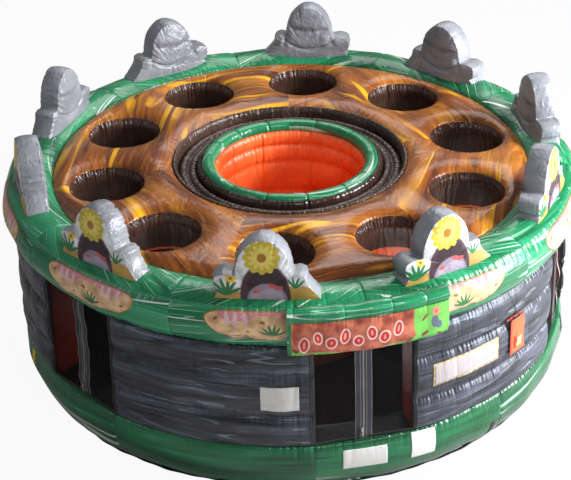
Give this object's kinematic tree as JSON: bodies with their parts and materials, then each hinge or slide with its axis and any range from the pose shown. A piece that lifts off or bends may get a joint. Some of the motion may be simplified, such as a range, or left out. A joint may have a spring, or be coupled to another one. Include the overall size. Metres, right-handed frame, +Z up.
{
  "type": "mole pounding game",
  "caption": "Round inflatable game: a drum with player holes in its deck around a central pit, zipped mesh doors in the wall and inflated rocks on the rim.",
  "frame": {"origin": "on the floor at the centre of the drum, on the underside of the floor mat", "axes": "+Z up along the drum's axis, -Y towards the front with the banner, +X to the right seen from the front"},
  "size_m": [4.6, 5.7676, 2.1554],
  "materials": {
    "green_vinyl": "glossy PVC-coated fabric, marbled green",
    "grey_vinyl": "glossy PVC-coated fabric, marbled charcoal grey",
    "deck_vinyl": "glossy PVC-coated fabric, marbled brown, orange and yellow",
    "brown_vinyl": "glossy dark brown PVC-coated fabric, gathered",
    "orange_vinyl": "glossy orange PVC-coated fabric",
    "rock_vinyl": "glossy light grey PVC-coated fabric",
    "mat_vinyl": "black PVC-coated fabric",
    "banner_print": "printed PVC sheet",
    "black_mesh": "black vinyl-coated polyester mesh with grey zip tape",
    "brown_mesh": "dark brown vinyl-coated mesh",
    "zip_metal": "cast zip slider",
    "blower_plastic": "moulded polyethylene",
    "fan_plastic": "black moulded plastic"
  },
  "bodies": {
    "drum": {"base_ring": "green_vinyl", "floor_mat": "mat_vinyl", "wall_panel_1": "grey_vinyl", "wall_panel_2": "grey_vinyl", "wall_panel_3": "grey_vinyl", "wall_panel_4": "grey_vinyl", "wall_panel_5": "grey_vinyl", "wall_panel_6": "grey_vinyl", "top_ring": "green_vinyl", "deck_panel_1": "deck_vinyl", "rock_1": "rock_vinyl", "deck_panel_2": "deck_vinyl", "rock_2": "rock_vinyl", "deck_panel_3": "deck_vinyl", "rock_3": "rock_vinyl", "deck_panel_4": "deck_vinyl", "rock_4": "rock_vinyl", "deck_panel_5": "deck_vinyl", "rock_5": "rock_vinyl", "deck_panel_6": "deck_vinyl", "rock_6": "rock_vinyl", "deck_panel_7": "deck_vinyl", "rock_7": "rock_vinyl", "deck_panel_8": "deck_vinyl", "rock_8": "rock_vinyl", "deck_panel_9": "deck_vinyl", "rock_9": "rock_vinyl", "deck_panel_10": "deck_vinyl", "rock_10": "rock_vinyl", "centre_roll": "brown_vinyl", "moat_mesh": "brown_mesh", "pit_collar": "brown_vinyl", "pit_rim": "green_vinyl", "pit_wall": "orange_vinyl", "pit_floor": "orange_vinyl", "banner_pad": "green_vinyl", "banner_sheet": "banner_print", "fill_sleeve": "green_vinyl", "blower_housing": "blower_plastic"},
    "door_1_left_flap": {"door_1_left_flap": "black_mesh"},
    "door_1_right_flap": {"door_1_right_flap": "black_mesh"},
    "door_1_zip_slider": {"door_1_zip_slider": "zip_metal"},
    "door_2_left_flap": {"door_2_left_flap": "black_mesh"},
    "door_2_right_flap": {"door_2_right_flap": "black_mesh"},
    "door_2_zip_slider": {"door_2_zip_slider": "zip_metal"},
    "door_3_left_flap": {"door_3_left_flap": "black_mesh"},
    "door_3_right_flap": {"door_3_right_flap": "black_mesh"},
    "door_3_zip_slider": {"door_3_zip_slider": "zip_metal"},
    "door_4_left_flap": {"door_4_left_flap": "black_mesh"},
    "door_4_right_flap": {"door_4_right_flap": "black_mesh"},
    "door_4_zip_slider": {"door_4_zip_slider": "zip_metal"},
    "door_5_left_flap": {"door_5_left_flap": "black_mesh"},
    "door_5_right_flap": {"door_5_right_flap": "black_mesh"},
    "door_5_zip_slider": {"door_5_zip_slider": "zip_metal"},
    "door_6_left_flap": {"door_6_left_flap": "black_mesh"},
    "door_6_right_flap": {"door_6_right_flap": "black_mesh"},
    "door_6_zip_slider": {"door_6_zip_slider": "zip_metal"},
    "hanging_flap": {"hanging_flap": "orange_vinyl"},
    "blower_fan": {"blower_fan": "fan_plastic"}
  },
  "joints": [
    {"name": "door_1_left_swing", "type": "hinge", "parent": "drum", "child": "door_1_left_flap", "pos_m": [-1.86756, -1.16275, 0.865], "axis": [0, 0, 1], "range_deg": [-90, 0]},
    {"name": "door_1_right_swing", "type": "hinge", "parent": "drum", "child": "door_1_right_flap", "pos_m": [-1.3697, -1.72154, 0.865], "axis": [0, 0, 1], "range_deg": [0, 90]},
    {"name": "door_1_zip_slide", "type": "slide", "parent": "door_1_left_flap", "child": "door_1_zip_slider", "axis": [0, 0, 1], "range_m": [0, 0.74]},
    {"name": "door_2_left_swing", "type": "hinge", "parent": "drum", "child": "door_2_left_flap", "pos_m": [0.12689, -2.19629, 0.865], "axis": [0, 0, 1], "range_deg": [-90, 0]},
    {"name": "door_2_right_swing", "type": "hinge", "parent": "drum", "child": "door_2_right_flap", "pos_m": [0.85582, -2.02666, 0.865], "axis": [0, 0, 1], "range_deg": [0, 90]},
    {"name": "door_2_zip_slide", "type": "slide", "parent": "door_2_left_flap", "child": "door_2_zip_slider", "axis": [0, 0, 1], "range_m": [0, 0.74]},
    {"name": "door_3_left_swing", "type": "hinge", "parent": "drum", "child": "door_3_left_flap", "pos_m": [1.99068, -0.93646, 0.865], "axis": [0, 0, 1], "range_deg": [-90, 0]},
    {"name": "door_3_right_swing", "type": "hinge", "parent": "drum", "child": "door_3_right_flap", "pos_m": [2.18942, -0.21493, 0.865], "axis": [0, 0, 1], "range_deg": [0, 90]},
    {"name": "door_3_zip_slide", "type": "slide", "parent": "door_3_left_flap", "child": "door_3_zip_slider", "axis": [0, 0, 1], "range_m": [0, 0.74]},
    {"name": "door_4_left_swing", "type": "hinge", "parent": "drum", "child": "door_4_left_flap", "pos_m": [1.81939, 1.23677, 0.865], "axis": [0, 0, 1], "range_deg": [-90, 0]},
    {"name": "door_4_right_swing", "type": "hinge", "parent": "drum", "child": "door_4_right_flap", "pos_m": [1.29951, 1.77512, 0.865], "axis": [0, 0, 1], "range_deg": [0, 90]},
    {"name": "door_4_zip_slide", "type": "slide", "parent": "door_4_left_flap", "child": "door_4_zip_slider", "axis": [0, 0, 1], "range_m": [0, 0.74]},
    {"name": "door_5_left_swing", "type": "hinge", "parent": "drum", "child": "door_5_left_flap", "pos_m": [-0.12306, 2.1965, 0.865], "axis": [0, 0, 1], "range_deg": [-90, 0]},
    {"name": "door_5_right_swing", "type": "hinge", "parent": "drum", "child": "door_5_right_flap", "pos_m": [-0.85228, 2.02815, 0.865], "axis": [0, 0, 1], "range_deg": [0, 90]},
    {"name": "door_5_zip_slide", "type": "slide", "parent": "door_5_left_flap", "child": "door_5_zip_slider", "axis": [0, 0, 1], "range_m": [0, 0.74]},
    {"name": "door_6_left_swing", "type": "hinge", "parent": "drum", "child": "door_6_left_flap", "pos_m": [-1.94615, 1.0258, 0.865], "axis": [0, 0, 1], "range_deg": [-90, 0]},
    {"name": "door_6_right_swing", "type": "hinge", "parent": "drum", "child": "door_6_right_flap", "pos_m": [-2.17742, 0.31403, 0.865], "axis": [0, 0, 1], "range_deg": [0, 90]},
    {"name": "door_6_zip_slide", "type": "slide", "parent": "door_6_left_flap", "child": "door_6_zip_slider", "axis": [0, 0, 1], "range_m": [0, 0.74]},
    {"name": "hanging_flap_lift", "type": "hinge", "parent": "drum", "child": "hanging_flap", "pos_m": [1.67264, -1.47983, 1.045], "axis": [-0.6626, -0.749, 0], "range_deg": [0, 150]},
    {"name": "blower_fan_spin", "type": "hinge", "parent": "drum", "child": "blower_fan", "pos_m": [0.92589, 3.12575, 0.245], "axis": [-0.9588, 0.284, 0], "continuous": true}
  ]
}
